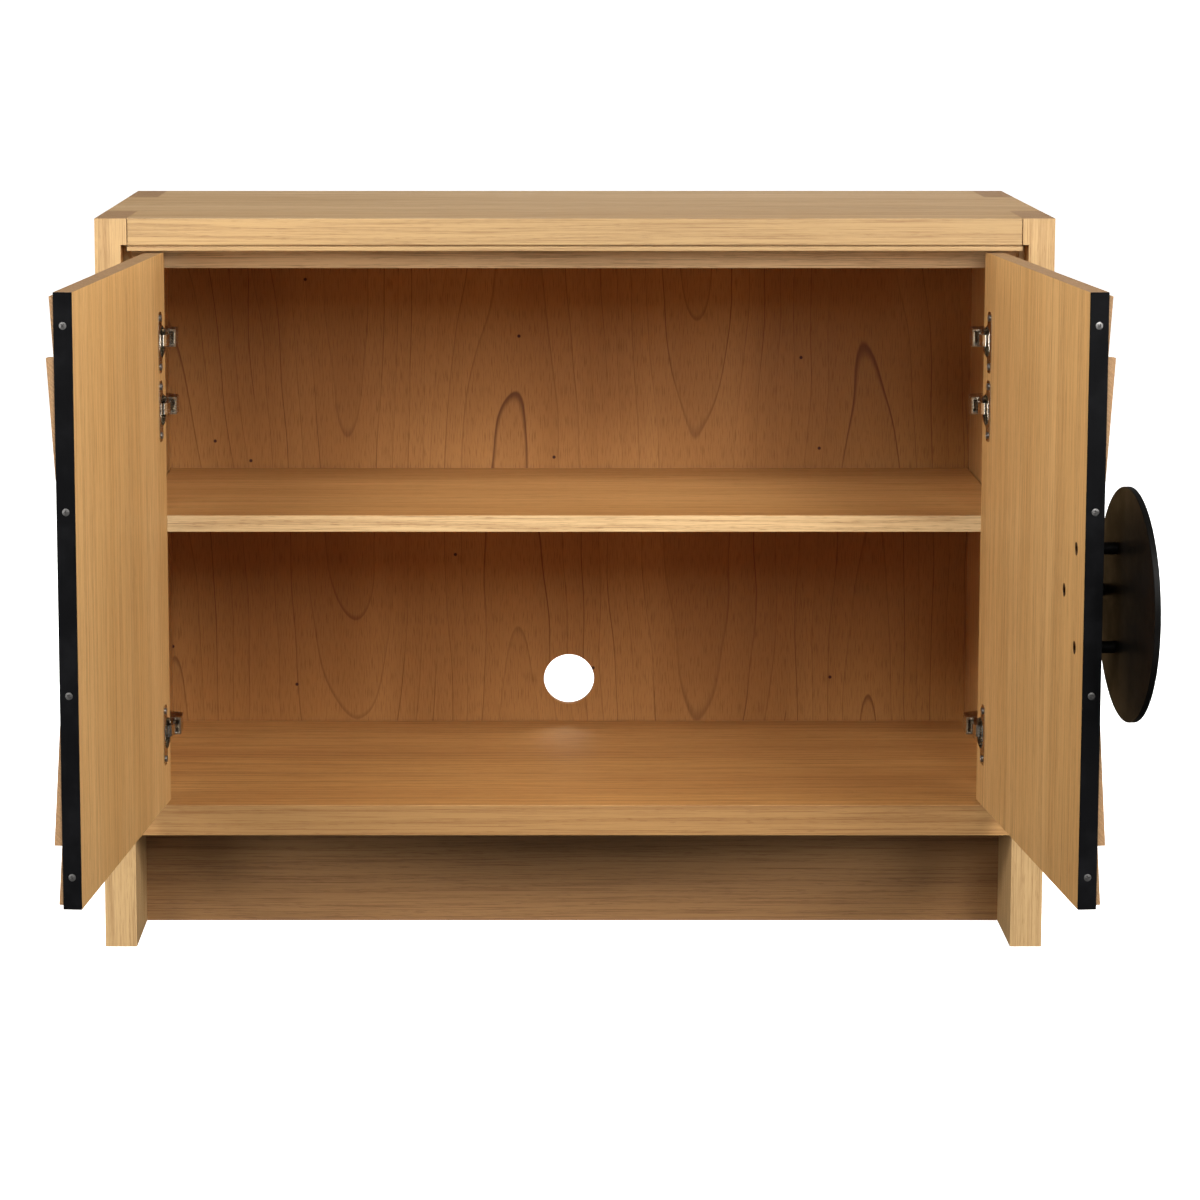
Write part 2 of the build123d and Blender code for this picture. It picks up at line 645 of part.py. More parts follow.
with BuildPart() as handle_posts:
    with BuildSketch(right_plane.offset(DOOR_THICKNESS)):
        with Locations(*post_places()):
            Circle(POST_RADIUS)
    extrude(amount=DISC_STANDOFF)
    with BuildSketch(right_plane.offset(DOOR_THICKNESS)):
        with Locations(*post_places()):
            Circle(BOLT_RADIUS)
    extrude(amount=BOLT_REACH, mode=Mode.SUBTRACT)
save(handle_posts.part, "handle_posts")

with BuildPart() as handle_bolts:
    with BuildSketch(right_plane.offset(ACCESS_DEPTH)):
        with Locations(*post_places()):
            Circle(BOLT_HEAD_RADIUS)
            RegularPolygon(BOLT_SOCKET_RADIUS, 6, mode=Mode.SUBTRACT)
    extrude(amount=-BOLT_HEAD_HEIGHT)
    with BuildSketch(right_plane.offset(ACCESS_DEPTH - BOLT_HEAD_HEIGHT + BOLT_SOCKET_DEPTH)):
        with Locations(*post_places()):
            Circle(BOLT_HEAD_RADIUS)
    extrude(amount=BOLT_HEAD_HEIGHT - BOLT_SOCKET_DEPTH)
    with BuildSketch(right_plane.offset(ACCESS_DEPTH)):
        with Locations(*post_places()):
            Circle(BOLT_RADIUS)
    extrude(amount=DOOR_THICKNESS - ACCESS_DEPTH + BOLT_REACH)
save(handle_bolts.part, "handle_bolts")
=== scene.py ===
import math

import bmesh
import bpy
from mathutils import Matrix, Vector


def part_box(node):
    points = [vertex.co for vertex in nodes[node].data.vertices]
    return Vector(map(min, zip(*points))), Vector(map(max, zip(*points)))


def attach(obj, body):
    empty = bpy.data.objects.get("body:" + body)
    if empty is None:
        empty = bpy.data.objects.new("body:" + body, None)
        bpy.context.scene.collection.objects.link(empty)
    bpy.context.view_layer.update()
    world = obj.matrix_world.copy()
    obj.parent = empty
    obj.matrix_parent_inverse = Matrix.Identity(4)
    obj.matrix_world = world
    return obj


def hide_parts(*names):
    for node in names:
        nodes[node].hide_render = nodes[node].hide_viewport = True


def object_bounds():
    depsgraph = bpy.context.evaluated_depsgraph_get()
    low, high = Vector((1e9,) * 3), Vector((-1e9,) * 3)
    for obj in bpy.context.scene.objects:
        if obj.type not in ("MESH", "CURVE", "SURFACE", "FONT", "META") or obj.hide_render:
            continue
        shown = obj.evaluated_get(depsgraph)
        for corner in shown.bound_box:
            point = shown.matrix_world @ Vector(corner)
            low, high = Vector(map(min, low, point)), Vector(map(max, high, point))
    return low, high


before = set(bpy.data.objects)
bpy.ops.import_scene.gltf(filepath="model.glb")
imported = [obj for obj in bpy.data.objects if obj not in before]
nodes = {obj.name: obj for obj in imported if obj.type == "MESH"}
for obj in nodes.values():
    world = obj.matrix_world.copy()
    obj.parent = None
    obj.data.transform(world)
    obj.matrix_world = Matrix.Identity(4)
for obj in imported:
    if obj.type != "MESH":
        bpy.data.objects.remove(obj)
cad_low, cad_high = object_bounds()

MM = 0.001
SIDES = ("left", "right")
HINGE_LEVELS = ("upper", "middle", "lower")
DOOR_ANGLE = math.radians(95)
WELD_DISTANCE = 1e-6
WHITE = (1.0, 1.0, 1.0, 1.0)


# ---------------------------------------------------------------- node graph helper
# The Mix node repeats its socket names for every data type, so its colour sockets go by number.
MIX_A, MIX_B, MIX_RESULT = 6, 7, 2
RANGE_INPUTS = ("From Min", "From Max", "To Min", "To Max")


class Graph:
    """Short calls for building one material's node tree."""

    def __init__(self, name):
        self.material = bpy.data.materials.new(name)
        self.material.use_nodes = True
        self.tree = self.material.node_tree
        self.shader = self.tree.nodes["Principled BSDF"]

    def node(self, kind, **settings):
        made = self.tree.nodes.new(kind)
        for key, value in settings.items():
            setattr(made, key, value)
        return made

    def feed(self, socket, value):
        if isinstance(value, bpy.types.NodeSocket):
            self.tree.links.new(value, socket)
        elif value is not None:
            socket.default_value = value

    def math(self, operation, a, b=None, c=None):
        made = self.node("ShaderNodeMath", operation=operation)
        for socket, value in zip(made.inputs, (a, b, c)):
            self.feed(socket, value)
        return made.outputs[0]

    def axes(self, output, turn):
        """One of the object's own vectors as x, y, z, turned about Z to line up with an open door."""
        vector = self.node("ShaderNodeTexCoord").outputs[output]
        if turn:
            turned = self.node("ShaderNodeVectorRotate", rotation_type="Z_AXIS")
            self.feed(turned.inputs["Vector"], vector)
            self.feed(turned.inputs["Angle"], turn)
            vector = turned.outputs[0]
        parts = self.node("ShaderNodeSeparateXYZ")
        self.feed(parts.inputs[0], vector)
        return parts.outputs

    def coords(self, turn=0.0):
        return self.axes("Object", turn)

    def normal(self, turn=0.0):
        return self.axes("Normal", turn)

    def vector(self, x, y, z):
        made = self.node("ShaderNodeCombineXYZ")
        for socket, value in zip(made.inputs, (x, y, z)):
            self.feed(socket, value)
        return made.outputs[0]

    def stretched(self, grain, scales, shift=0.0):
        """A noise space whose cells are long beside the grain and narrow across it."""
        along, across, depth = grain
        along_scale, across_scale = scales
        return self.vector(
            self.math("MULTIPLY_ADD", along, along_scale, shift),
            self.math("MULTIPLY", across, across_scale),
            self.math("MULTIPLY", depth, across_scale),
        )

    def noise(self, vector, scale=1.0, detail=2.0, rough=0.5):
        made = self.node("ShaderNodeTexNoise")
        self.feed(made.inputs["Vector"], vector)
        made.inputs["Scale"].default_value = scale
        made.inputs["Detail"].default_value = detail
        made.inputs["Roughness"].default_value = rough
        return made.outputs["Fac"]

    def voronoi(self, vector, scale, dimensions="3D"):
        made = self.node("ShaderNodeTexVoronoi", voronoi_dimensions=dimensions)
        self.feed(made.inputs["Vector"], vector)
        made.inputs["Scale"].default_value = scale
        return made.outputs["Distance"]

    def smooth(self, value, low, high, to_low=0.0, to_high=1.0):
        made = self.node("ShaderNodeMapRange", interpolation_type="SMOOTHSTEP")
        self.feed(made.inputs["Value"], value)
        for key, number in zip(RANGE_INPUTS, (low, high, to_low, to_high)):
            made.inputs[key].default_value = number
        return made.outputs["Result"]

    def mix(self, factor, a, b):
        made = self.node("ShaderNodeMix", data_type="RGBA")
        self.feed(made.inputs["Factor"], factor)
        for number, color in ((MIX_A, a), (MIX_B, b)):
            is_socket = isinstance(color, bpy.types.NodeSocket)
            self.feed(made.inputs[number], color if is_socket else (*color, 1.0))
        return made.outputs[MIX_RESULT]

    def bump(self, height, distance, strength):
        made = self.node("ShaderNodeBump")
        self.feed(made.inputs["Height"], height)
        made.inputs["Distance"].default_value = distance
        made.inputs["Strength"].default_value = strength
        return made.outputs[0]

    def finish(self, color, roughness, normal=None, **uniform):
        self.feed(self.shader.inputs["Base Color"], color)
        self.feed(self.shader.inputs["Roughness"], roughness)
        if normal is not None:
            self.feed(self.shader.inputs["Normal"], normal)
        for key, value in uniform.items():
            self.shader.inputs[key.replace("_", " ")].default_value = value
        return self.material


def shade(color, factor):
    return tuple(factor * v for v in color)


# ---------------------------------------------------------------- oak
LIGHT_OAK = (0.64, 0.415, 0.190)
MID_OAK = (0.53, 0.320, 0.130)
END_OAK = (0.28, 0.160, 0.074)
END_OAK_LIGHT = shade(END_OAK, 1.45)
PORE_SHARE = (0.48, 0.40, 0.35)  # a pore's colour as a share of its board's dark colour
EDGE_STREAK = 0.84               # a lipping's dark streaks, and those of the painted inner shade, as a share of its colour

# Which of the object's axes runs along the grain, across the board's face, and through it.
GRAIN_Z = (2, 0, 1)
GRAIN_X = (0, 1, 2)
GRAIN_SIDEWAYS = (1, 2, 0)  # across an open door

# Noise scales along the grain and across it, in cells per metre.
SWAY_SCALES = (1.7, 4.0)
TONE_SCALES = (0.7, 9.0)
PORE_SCALES = (9.0, 820.0)
DASH_SCALES = (60.0, 1300.0)
BAND_ALONG, BAND_ACROSS = 0.9, 150.0
END_RING_ACROSS, END_RING_DEPTH = 400.0, 20.0
END_SPECK_SCALE = 900.0
SWAY_REACH = 0.035                 # metres by which the growth bands wander
TONE_SHIFT, DASH_SHIFT = 7.0, 3.0  # keep these two noises apart from the pores'

# Noise values between which each feature of the grain comes in.
TONE_RANGE = (0.3, 0.7)
LATE_WOOD = (0.46, 0.66)
PORE_RANGE = (0.47, 0.68)
DASH_RANGE = (0.54, 0.64)
DASHED_BANDS = (0.35, 0.6)
END_SPECK_RANGE = (0.25, 0.55)
END_RING_RANGE = (0.35, 0.6)
GLOSS_RANGE = (0.3, 0.8)

FACING = (0.6, 0.85)          # share of the normal along an axis from which a face counts as square to it
FACING_INWARD = (-0.6, -0.9)
PAINTED_SHADE_START = (0.13, 0.15)   # heights between which the painted shade on a side panel's inner face comes in
DASH_STRENGTH = 0.45
PORE_RELIEF, DASH_RELIEF, SPECK_RELIEF = -0.6, -1.0, 0.8


def oak(name, order, light=LIGHT_OAK, dark=MID_OAK, turn=0.0, seed=0.0, figure=0.25, streaks=0.62,
        lipping=None, painted_inner_shade=None):
    """Straight-grained oak: pore streaks, growth bands and planks of slightly different tone.

    figure and streaks are the strengths of the growth bands and of the pores. lipping is the colour
    of a solid front edge. The last argument is painted shade: a darker, warmer colour on a side
    panel's face inside the case.
    """
    g = Graph(name)
    pore = tuple(share * v for share, v in zip(PORE_SHARE, dark))
    xyz = g.coords(turn)
    grain = [xyz[i] for i in order]
    along, across, depth = grain

    sway = g.noise(g.stretched(grain, SWAY_SCALES, seed), detail=1.0)
    flank = g.math("MULTIPLY_ADD", sway, SWAY_REACH, g.math("ADD", across, depth))
    band_along = g.math("MULTIPLY_ADD", along, BAND_ALONG, seed)
    band_across = g.math("MULTIPLY", flank, BAND_ACROSS)
    bands = g.noise(g.vector(band_along, band_across, 0.0), detail=3.0, rough=0.6)
    tone = g.noise(g.stretched(grain, TONE_SCALES, seed + TONE_SHIFT), detail=2.0)
    pores = g.noise(g.stretched(grain, PORE_SCALES, seed), detail=4.0, rough=0.68)
    dashes = g.noise(g.stretched(grain, DASH_SCALES, seed + DASH_SHIFT), detail=2.0)
    pore_mask = g.smooth(pores, *PORE_RANGE)
    dash_mask = g.math("MULTIPLY", g.smooth(dashes, *DASH_RANGE), g.smooth(bands, *DASHED_BANDS))

    def toned(fresh, streaked):
        return g.mix(g.smooth(tone, *TONE_RANGE), fresh, streaked)

    base = toned(light, dark)
    if lipping:
        is_front = g.smooth(g.math("ABSOLUTE", g.normal()[1]), *FACING)
        base = g.mix(is_front, base, toned(lipping, shade(lipping, EDGE_STREAK)))
    # Painted shade: a side panel's faces inside the case get a darker, warmer colour.
    if painted_inner_shade:
        inward = g.smooth(g.math("MULTIPLY", g.math("SIGN", xyz[0]), g.normal()[0]), *FACING_INWARD)
        painted_shade_mask = g.math("MULTIPLY", inward, g.smooth(xyz[2], *PAINTED_SHADE_START))
        base = g.mix(painted_shade_mask, base, toned(painted_inner_shade, shade(painted_inner_shade, EDGE_STREAK)))
    banded = g.mix(g.math("MULTIPLY", g.smooth(bands, *LATE_WOOD), figure), base, pore)
    porous = g.mix(g.math("MULTIPLY", pore_mask, streaks), banded, pore)
    dashed = g.mix(g.math("MULTIPLY", dash_mask, DASH_STRENGTH), porous, pore)

    is_end = g.smooth(g.math("ABSOLUTE", g.normal(turn)[order[0]]), *FACING)
    speck = g.voronoi(g.vector(*xyz), END_SPECK_SCALE)
    ring_across = g.math("MULTIPLY", flank, END_RING_ACROSS)
    ring_depth = g.math("MULTIPLY", depth, END_RING_DEPTH)
    ring = g.noise(g.vector(ring_across, 0.0, ring_depth), detail=2.0)
    end_mask = g.math("MULTIPLY", g.smooth(speck, *END_SPECK_RANGE), g.smooth(ring, *END_RING_RANGE))
    color = g.mix(is_end, dashed, g.mix(end_mask, END_OAK, END_OAK_LIGHT))

    pits = g.math("MULTIPLY", pore_mask, PORE_RELIEF)
    scratches = g.math("MULTIPLY", dash_mask, DASH_RELIEF)
    end_specks = g.math("MULTIPLY", is_end, g.math("MULTIPLY", speck, SPECK_RELIEF))
    relief = g.math("ADD", g.math("ADD", pits, scratches), end_specks)
    roughness = g.smooth(pores, *GLOSS_RANGE, to_low=0.42, to_high=0.60)
    bump = g.bump(relief, distance=0.18 * MM, strength=0.5)
    return g.finish(color, roughness, bump, Specular_IOR_Level=0.38)


# ---------------------------------------------------------------- crown-cut veneer of the back
BACK_LIGHT = (0.50, 0.240, 0.070)
BACK_MID = (0.40, 0.175, 0.044)
BACK_LINE = (0.13, 0.040, 0.012)
KNOT = (0.05, 0.012, 0.006)

# Noise scales across the leaves and up them, in cells per metre.
LEAF_WAVE_SCALES = (2.2, 1.6)
RING_SWAY_SCALES = (10.0, 5.0)
RING_DRIFT_SCALES = (5.0, 1.3)
LINE_FADE_SCALES = (9.0, 5.0)
BACK_PORE_SCALES = (1100.0, 55.0)
BACK_TONE_SCALES = (7.0, 1.1)
KNOT_SCALE = 5.2
KNOT_RANGE = (0.013, 0.007)

# Growth rings are measured in leaf widths, and heights in metres.
LEAF_WAVE = 0.06                         # metres by which the leaves' seams wander
RING_SWAY, RING_DRIFT = 0.080, 0.24      # leaf widths by which the rings wander, finely and broadly
LOG_END_LOW, LOG_END_STEP = -0.02, 1.02  # height of a leaf's log end, and its neighbour's above it
CONE_SLOPE = 0.42                        # leaf widths by which a ring opens in a metre
RINGS_PER_LEAF = 12.0

# Places in one ring, from 0 to 1, where its shading grows and its dark line comes in and goes out again.
RING_SHADE_RANGE = (0.0, 0.95)
LINE_IN = (0.92, 0.978)
LINE_OUT = (1.0, 0.982)

# Noise values between which the lines strengthen, from a least to a full strength, and the pores come in.
LINE_FADE = (0.30, 0.62, 0.25, 1.0)
BACK_PORE_RANGE = (0.48, 0.70)

FAINT_LINE_CUT = -0.5  # change of strength of every second line
RING_SHADE, BACK_PORES, BACK_LINES = 0.07, 0.40, 0.82
BACK_PORE_RELIEF, BACK_LINE_RELIEF = -0.5, -0.4


def crown_veneer(name, leaf_width, seed):
    """Crown-cut veneer: leaves side by side, each with nested arches of dark growth lines."""
    g = Graph(name)
    x, y, z = g.coords()

    def noise_over(scales, offset=0.0, detail=1.0):
        across, up = scales
        space = g.vector(g.math("MULTIPLY", x, across), offset, g.math("MULTIPLY", z, up))
        return g.noise(space, detail=detail)

    wave = noise_over(LEAF_WAVE_SCALES)
    place = g.math("DIVIDE", g.math("MULTIPLY_ADD", wave, LEAF_WAVE, g.math("ADD", x, seed)), leaf_width)
    leaf = g.math("FLOOR", place)
    within = g.math("SUBTRACT", g.math("FRACT", place), 0.5)

    # The rings are cones about the log's middle line. Every second leaf is turned end for end.
    upturned = g.math("MODULO", g.math("ABSOLUTE", leaf), 2.0)
    log_end = g.math("MULTIPLY_ADD", upturned, LOG_END_STEP, LOG_END_LOW)
    depth = g.math("MULTIPLY", g.math("SUBTRACT", z, log_end), CONE_SLOPE)
    reach = g.math("SQRT", g.math("MULTIPLY_ADD", within, within, g.math("MULTIPLY", depth, depth)))
    ring = g.math("MULTIPLY_ADD", noise_over(RING_SWAY_SCALES), RING_SWAY, reach)
    ring = g.math("MULTIPLY_ADD", noise_over(RING_DRIFT_SCALES, offset=5.0), RING_DRIFT, ring)
    count = g.math("MULTIPLY", ring, RINGS_PER_LEAF)
    phase = g.math("FRACT", count)
    faint = g.math("MODULO", g.math("FLOOR", count), 2.0)
    fade = noise_over(LINE_FADE_SCALES, offset=3.0)
    line = g.math("MULTIPLY", g.smooth(phase, *LINE_IN), g.smooth(phase, *LINE_OUT))
    line = g.math("MULTIPLY", line, g.smooth(fade, *LINE_FADE))
    line = g.math("MULTIPLY", line, g.math("MULTIPLY_ADD", faint, FAINT_LINE_CUT, 1.0))

    pores = noise_over(BACK_PORE_SCALES, detail=2.0)
    tone = noise_over(BACK_TONE_SCALES, offset=seed, detail=2.0)
    knots = g.voronoi(g.vector(x, z, 0.0), KNOT_SCALE, "2D")
    base = g.mix(g.smooth(tone, *TONE_RANGE), BACK_LIGHT, BACK_MID)
    shaded = g.mix(g.math("MULTIPLY", g.smooth(phase, *RING_SHADE_RANGE), RING_SHADE), base, BACK_LINE)
    porous = g.mix(g.math("MULTIPLY", g.smooth(pores, *BACK_PORE_RANGE), BACK_PORES), shaded, BACK_LINE)
    lined = g.mix(g.math("MULTIPLY", line, BACK_LINES), porous, BACK_LINE)
    color = g.mix(g.smooth(knots, *KNOT_RANGE), lined, KNOT)

    pits = g.math("MULTIPLY", pores, BACK_PORE_RELIEF)
    relief = g.math("ADD", pits, g.math("MULTIPLY", line, BACK_LINE_RELIEF))
    roughness = g.smooth(pores, *GLOSS_RANGE, to_low=0.45, to_high=0.62)
    bump = g.bump(relief, distance=0.15 * MM, strength=0.4)
    return g.finish(color, roughness, bump, Specular_IOR_Level=0.35)


# ---------------------------------------------------------------- metal
ORANGE_PEEL_SCALE = 1800.0
RUBBED_SCALE = 22.0
RUBBED_RANGE = (0.45, 0.75)
RUBBED_GAIN, RUBBED_LIFT = 1.7, 0.0008

HAIR_SCALES = (300.0, 300.0, 3000.0)
SMEAR_SCALE = 60.0
SMEAR_RANGE = (0.4, 0.7)
SMEAR_SHARE = 0.82
METAL_GLOSS_RANGE = (0.3, 0.7)


def powder_coat(name, color, roughness):
    """Black satin coat with a very fine orange-peel surface and faint rubbed patches."""
    g = Graph(name)
    space = g.vector(*g.coords())
    peel = g.noise(space, ORANGE_PEEL_SCALE, detail=2.0)
    rubbed = g.noise(space, RUBBED_SCALE, detail=4.0, rough=0.6)
    worn = tuple(RUBBED_GAIN * v + RUBBED_LIFT for v in color)
    tint = g.mix(g.smooth(rubbed, *RUBBED_RANGE), color, worn)
    sheen = g.smooth(rubbed, *METAL_GLOSS_RANGE, to_low=roughness - 0.05, to_high=roughness + 0.08)
    return g.finish(tint, sheen, g.bump(peel, distance=0.05 * MM, strength=0.35), Specular_IOR_Level=0.06)


def plated(name, color, roughness):
    """Bright plated steel with hairline polishing marks."""
    g = Graph(name)
    xyz = g.coords()
    hair_space = g.vector(*(g.math("MULTIPLY", axis, scale) for axis, scale in zip(xyz, HAIR_SCALES)))
    hairs = g.noise(hair_space, detail=2.0)
    smears = g.noise(g.vector(*xyz), SMEAR_SCALE, detail=3.0)
    tint = g.mix(g.smooth(smears, *SMEAR_RANGE), color, shade(color, SMEAR_SHARE))
    rough = g.smooth(hairs, *METAL_GLOSS_RANGE, to_low=roughness, to_high=roughness + 0.12)
    return g.finish(tint, rough, g.bump(hairs, distance=0.02 * MM, strength=0.4), Metallic=1.0)


# ---------------------------------------------------------------- which piece wears what
materials = {
    # The side panels' inner faces wear painted shade, a darker, warmer colour than their outer faces.
    "side": oak("oak_side", GRAIN_Z, seed=1.0, lipping=(0.55, 0.357, 0.162), painted_inner_shade=(0.56, 0.30, 0.105)),
    "top": oak("oak_top", GRAIN_X, seed=4.0, figure=0.30,
               light=(0.58, 0.385, 0.195), dark=(0.50, 0.31, 0.140), lipping=(0.50, 0.322, 0.143)),
    "bottom": oak("oak_bottom", GRAIN_X, seed=9.0, figure=0.34,
                  light=(0.66, 0.345, 0.110), dark=(0.54, 0.26, 0.080), lipping=(0.50, 0.275, 0.100)),
    # Painted light: the shelf's front edge colour is far lighter than the other edges', standing in for
    # light on an edge set back inside the case.
    "shelf": oak("oak_shelf_painted_light_edge", GRAIN_X, seed=14.0,
                 light=(0.70, 0.375, 0.130), dark=(0.60, 0.30, 0.095), lipping=(0.90, 0.62, 0.31)),
    "plinth": oak("oak_plinth", GRAIN_X, seed=19.0, light=(0.38, 0.200, 0.078), dark=(0.30, 0.150, 0.053)),
    # Painted light: the rail's colours are lighter than the other oak's, standing in for light on a rail
    # in the top's shade.
    "rail": oak("oak_rail_painted_light", GRAIN_X, seed=23.0, light=(0.80, 0.52, 0.26), dark=(0.70, 0.42, 0.19)),
    "back": crown_veneer("back_crown_veneer", leaf_width=0.21, seed=0.135),
    "black": powder_coat("black_powder_coat", (0.0036, 0.0032, 0.0029), 0.42),
    "black_strip": powder_coat("black_strip_coat", (0.0030, 0.0030, 0.0034), 0.5),
    "nickel": plated("polished_nickel", (0.60, 0.54, 0.45), 0.16),
    "zinc": plated("zinc_screws", (0.30, 0.29, 0.28), 0.34),
    "bronze": plated("dark_bronze_bolts", (0.085, 0.055, 0.035), 0.38),
}
for side, sign in zip(SIDES, (1, -1)):
    slant = sign * (DOOR_ANGLE - math.pi / 2)
    materials[f"{side}_door"] = oak(
        f"oak_{side}_door", GRAIN_Z, seed=31.0 + sign, figure=0.24,
        light=(0.73, 0.435, 0.170), dark=(0.63, 0.355, 0.125),
    )
    materials[f"{side}_carved"] = oak(
        f"oak_{side}_carved", GRAIN_SIDEWAYS, turn=slant, seed=41.0 + sign, figure=0.45, streaks=0.6
    )


def dress(node, material):
    slots = nodes[node].data.materials
    slots.clear()
    slots.append(materials[material])


SINGLE_LOOKS = {
    "left_side_panel": "side",
    "right_side_panel": "side",
    "top_panel": "top",
    "bottom_panel": "bottom",
    "back_panel": "back",
    "shelf": "shelf",
    "plinth_board": "plinth",
    "top_front_rail": "rail",
    "handle_disc": "black",
    "handle_posts": "black",
    "handle_bolts": "bronze",
    "shelf_pins": "zinc",
    "back_panel_screws": "zinc",
}
for node, material in SINGLE_LOOKS.items():
    dress(node, material)
for side in SIDES:
    dress(f"{side}_door_panel", f"{side}_door")
    dress(f"{side}_edge_strip", "black_strip")
    for piece in ("inner_ring", "outer_ring", "outer_field"):
        dress(f"{side}_carved_{piece}", f"{side}_carved")
    for node in nodes:
        if node.startswith(side) and "hinge" in node:
            dress(node, "nickel")
        if node.startswith(side) and "screws" in node:
            dress(node, "zinc")


# ---------------------------------------------------------------- softened edges
ARRIS_ANGLE = math.radians(40)
CASE_ARRIS = 1.1 * MM
BOARD_ARRIS = 0.7 * MM
STRIP_ARRIS = 0.3 * MM
HINGE_ARM_ARRIS = 0.6 * MM
HINGE_PLATE_ARRIS = 0.5 * MM


def soften(node, width, segments=2):
    """Welds the node's split edges for shading only and rounds its sharp arrises."""
    owner = nodes[node]
    weld = owner.modifiers.new("weld", "WELD")
    weld.merge_threshold = WELD_DISTANCE
    bevel = owner.modifiers.new("arris", "BEVEL")
    bevel.width = width
    bevel.segments = segments
    bevel.limit_method = "ANGLE"
    bevel.angle_limit = ARRIS_ANGLE


for node in ("left_side_panel", "right_side_panel", "top_panel"):
    soften(node, CASE_ARRIS, segments=3)
for node in ("bottom_panel", "shelf", "plinth_board", "top_front_rail"):
    soften(node, BOARD_ARRIS)
for side in SIDES:
    soften(f"{side}_door_panel", BOARD_ARRIS)
    soften(f"{side}_edge_strip", STRIP_ARRIS)
    for level in HINGE_LEVELS:
        soften(f"{side}_{level}_hinge_arm", HINGE_ARM_ARRIS)
        soften(f"{side}_{level}_hinge_plate", HINGE_PLATE_ARRIS)


# ---------------------------------------------------------------- screws
def loose_boxes(node):
    """Centre and size of each separate solid in a node."""
    mesh = bmesh.new()
    mesh.from_mesh(nodes[node].data)
    bmesh.ops.remove_doubles(mesh, verts=mesh.verts, dist=WELD_DISTANCE)
    waiting = set(mesh.verts)
    found = []
    while waiting:
        stack = [waiting.pop()]
        group = list(stack)
        while stack:
            for edge in stack.pop().link_edges:
                for vert in edge.verts:
                    if vert in waiting:
                        waiting.remove(vert)
                        stack.append(vert)
                        group.append(vert)
        low = Vector(min(v.co[i] for v in group) for i in range(3))
        high = Vector(max(v.co[i] for v in group) for i in range(3))
        found.append(((low + high) / 2, high - low))
    mesh.free()
    return sorted(found, key=lambda item: tuple(item[0]))


# The cross recess: its arms' length and half width as shares of the head's radius, the share to which
# it narrows at its floor, and the floor's height as a share of the head's.
CROSS_ARM, CROSS_HALF = 0.58, 0.14
RECESS_TAPER, RECESS_FLOOR = 0.55, 0.25
CROSS_STEPS = 4

# The dome: the height of its rim and its rise above that, as shares of the head's height.
DOME_RIM, DOME_RISE = 0.84, 0.16
DOME_RINGS = 5

HEAD_HEIGHT_LIMIT = 2.0 * MM
FIRST_SPIN, SPIN_STEP = 0.3, 0.7


def cross_outline(arm, half):
    """Twelve corners of a cross, each side cut into short steps, counter-clockwise."""
    corners = [(arm, -half), (arm, half), (half, half), (half, arm), (-half, arm), (-half, half),
               (-arm, half), (-arm, -half), (-half, -half), (-half, -arm), (half, -arm), (half, -half)]
    points = []
    for i, start in enumerate(corners):
        end = corners[(i + 1) % len(corners)]
        for step in range(CROSS_STEPS):
            t = step / CROSS_STEPS
            points.append(((1 - t) * start[0] + t * end[0], (1 - t) * start[1] + t * end[1]))
    return points


def add_screw_head(mesh, centre, axis, radius, height, spin):
    """Domed head with a cross recess, standing on the plane through centre, facing along axis."""
    facing = axis.to_track_quat("Z", "Y").to_matrix().to_4x4()
    place = Matrix.Translation(centre) @ facing @ Matrix.Rotation(spin, 4, "Z")
    outline = cross_outline(CROSS_ARM * radius, CROSS_HALF * radius)

    def dome(reach):
        return height * (DOME_RIM + DOME_RISE * (1 - (reach / radius) ** 2))

    def ring(points):
        return [mesh.verts.new(place @ Vector(point)) for point in points]

    rings = [
        ring((RECESS_TAPER * x, RECESS_TAPER * y, RECESS_FLOOR * height) for x, y in outline),
        ring((x, y, dome(math.hypot(x, y))) for x, y in outline),
    ]
    for i in range(1, DOME_RINGS + 1):
        t = i / DOME_RINGS
        points = []
        for x, y in outline:
            far = math.hypot(x, y)
            reach = (1 - t) * far + t * radius
            points.append((x / far * reach, y / far * reach, dome(reach)))
        rings.append(ring(points))
    foot = ring((x / math.hypot(x, y) * radius, y / math.hypot(x, y) * radius, 0) for x, y in outline)
    rings.append(foot)
    count = len(outline)
    for inner, outer in zip(rings, rings[1:]):
        for i in range(count):
            mesh.faces.new((inner[i], outer[i], outer[(i + 1) % count], inner[(i + 1) % count]))
    mesh.faces.new(rings[0])
    mesh.faces.new(list(reversed(foot)))


def screw_set(name, node, axis, body):
    """Cross-recess heads in place of a node's plain discs, each turned to its own angle."""
    mesh = bmesh.new()
    for i, (centre, size) in enumerate(loose_boxes(node)):
        thick = min(abs(size.dot(Vector(abs(v) for v in axis))), HEAD_HEIGHT_LIMIT)
        radius = sorted(size)[1] / 2
        add_screw_head(mesh, centre - axis * thick / 2, axis, radius, thick, SPIN_STEP * i + FIRST_SPIN)
    data = bpy.data.meshes.new(name)
    bmesh.ops.recalc_face_normals(mesh, faces=mesh.faces)
    mesh.to_mesh(data)
    mesh.free()
    made = bpy.data.objects.new(name, data)
    bpy.context.scene.collection.objects.link(made)
    data.materials.append(materials["zinc"])
    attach(made, body)
    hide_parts(node)


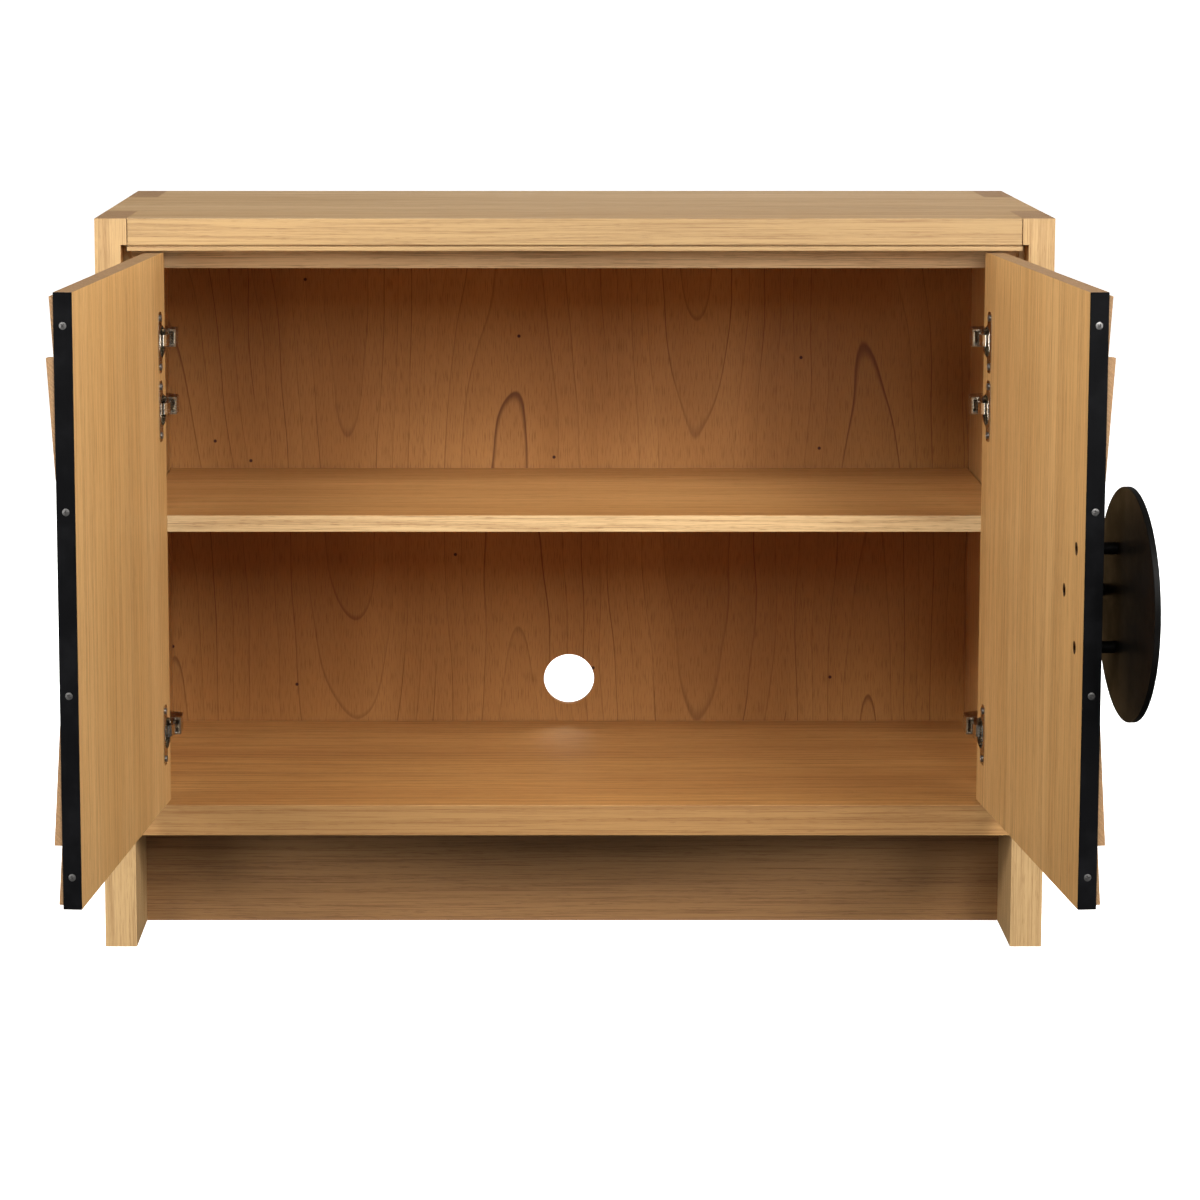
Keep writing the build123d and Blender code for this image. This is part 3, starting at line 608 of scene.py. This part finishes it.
for side, sign in zip(SIDES, (-1, 1)):
    outward = Vector((sign * math.sin(DOOR_ANGLE), -math.cos(DOOR_ANGLE), 0))
    along = Vector((-sign * math.cos(DOOR_ANGLE), -math.sin(DOOR_ANGLE), 0))
    screw_set(f"{side}_strip_screw_heads", f"{side}_edge_strip_screws", along, f"{side}_door")
    screw_set(f"{side}_cup_screw_heads", f"{side}_hinge_cup_screws", -outward, f"{side}_door")
    screw_set(f"{side}_plate_screw_heads", f"{side}_plate_screws", Vector((-sign, 0, 0)), "cabinet")


# ---------------------------------------------------------------- floor
FLOOR_SPAN = 60.0
WALL_HEIGHT = 50.0
FLOOR_GAP = 0.2 * MM
PAPER = (0.90, 0.90, 0.90, 1.0)

# Plain pale floor whose paper runs up into a far wall on every side.
corners = [(x * FLOOR_SPAN, y * FLOOR_SPAN) for x, y in ((-1, -1), (1, -1), (1, 1), (-1, 1))]
points = [(x, y, z) for z in (0, WALL_HEIGHT) for x, y in corners]
walls = [(i, (i + 1) % 4, (i + 1) % 4 + 4, i + 4) for i in range(4)]
floor_data = bpy.data.meshes.new("floor")
floor_data.from_pydata(points, [], [(0, 1, 2, 3), *walls])
floor = bpy.data.objects.new("floor", floor_data)
bpy.context.scene.collection.objects.link(floor)
floor.location.z = cad_low.z - FLOOR_GAP
paper = Graph("pale_floor").finish(
    PAPER, 0.9, Specular_IOR_Level=0.0, Emission_Color=WHITE, Emission_Strength=1.0
)
floor_data.materials.append(paper)
floor.visible_diffuse = False
floor.visible_glossy = False


# ---------------------------------------------------------------- lights
FRONT_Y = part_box("left_side_panel")[0].y

# Name, place, target, width and height in metres, watts.
FRONT_BOXES = (
    ("key_left", (-1.9, FRONT_Y - 2.9, 2.75), (0.1, 0.0, 0.40), 1.4, 1.2, 98),
    ("key_right", (1.9, FRONT_Y - 2.9, 2.75), (-0.1, 0.0, 0.40), 1.4, 1.2, 112),
    ("front_fill", (1.0, FRONT_Y - 3.3, 1.75), (-0.1, 0.0, 0.40), 1.2, 0.8, 40),
    ("low_left", (-2.7, FRONT_Y - 2.1, 0.75), (0.2, 0.0, 0.30), 1.0, 0.9, 36),
    ("low_right", (2.7, FRONT_Y - 2.1, 0.75), (-0.2, 0.0, 0.30), 1.0, 0.9, 24),
)

# Fills for the other views. They aim at the cabinet's middle and don't show as highlights.
FILL_TARGET = (0.0, 0.1, 0.4)
FILL_WIDTH, FILL_HEIGHT = 1.8, 1.4
FILLS = (
    ("rear_fill", (0.6, 3.0, 1.6), 55),
    ("side_fill_left", (-3.0, 0.9, 1.4), 40),
    ("side_fill_right", (3.0, 0.9, 1.4), 40),
)


def softbox(name, place, target, width, height, power):
    light = bpy.data.lights.new(name, "AREA")
    light.shape = "RECTANGLE"
    light.size = width
    light.size_y = height
    light.energy = power
    made = bpy.data.objects.new(name, light)
    bpy.context.scene.collection.objects.link(made)
    made.location = place
    made.rotation_euler = (Vector(target) - Vector(place)).to_track_quat("-Z", "Y").to_euler()
    return made


for box in FRONT_BOXES:
    softbox(*box)
for name, place, power in FILLS:
    softbox(name, place, FILL_TARGET, FILL_WIDTH, FILL_HEIGHT, power).visible_glossy = False


# ---------------------------------------------------------------- world
# Dim white, brighter above the horizon.
HORIZON = (-0.15, 0.05)         # heights of a ray's direction between which the strength rises
SKY_STRENGTH = (0.05, 0.17)

world = bpy.data.worlds.new("studio")
world.use_nodes = True
sky = world.node_tree
direction = sky.nodes.new("ShaderNodeTexCoord")
split = sky.nodes.new("ShaderNodeSeparateXYZ")
fade = sky.nodes.new("ShaderNodeMapRange")
sky.links.new(direction.outputs["Generated"], split.inputs[0])
sky.links.new(split.outputs["Z"], fade.inputs["Value"])
for key, number in zip(RANGE_INPUTS, (*HORIZON, *SKY_STRENGTH)):
    fade.inputs[key].default_value = number
sky.links.new(fade.outputs["Result"], sky.nodes["Background"].inputs["Strength"])
sky.nodes["Background"].inputs["Color"].default_value = WHITE
bpy.context.scene.world = world
bpy.context.scene.view_settings.view_transform = "Standard"


# ---------------------------------------------------------------- camera, as fitted to the photograph
CAMERA_PLACE = (-0.052, FRONT_Y - 3.962, 1.0744)
CAMERA_TILT = math.radians(90 - 8.08)

camera_data = bpy.data.cameras.new("camera")
camera_data.lens = 112.5
camera_data.sensor_width = 36.0
camera_data.shift_x = 0.062
camera_data.shift_y = -0.10
camera = bpy.data.objects.new("camera", camera_data)
bpy.context.scene.collection.objects.link(camera)
camera.location = CAMERA_PLACE
camera.rotation_euler = (CAMERA_TILT, 0, 0)
bpy.context.scene.camera = camera
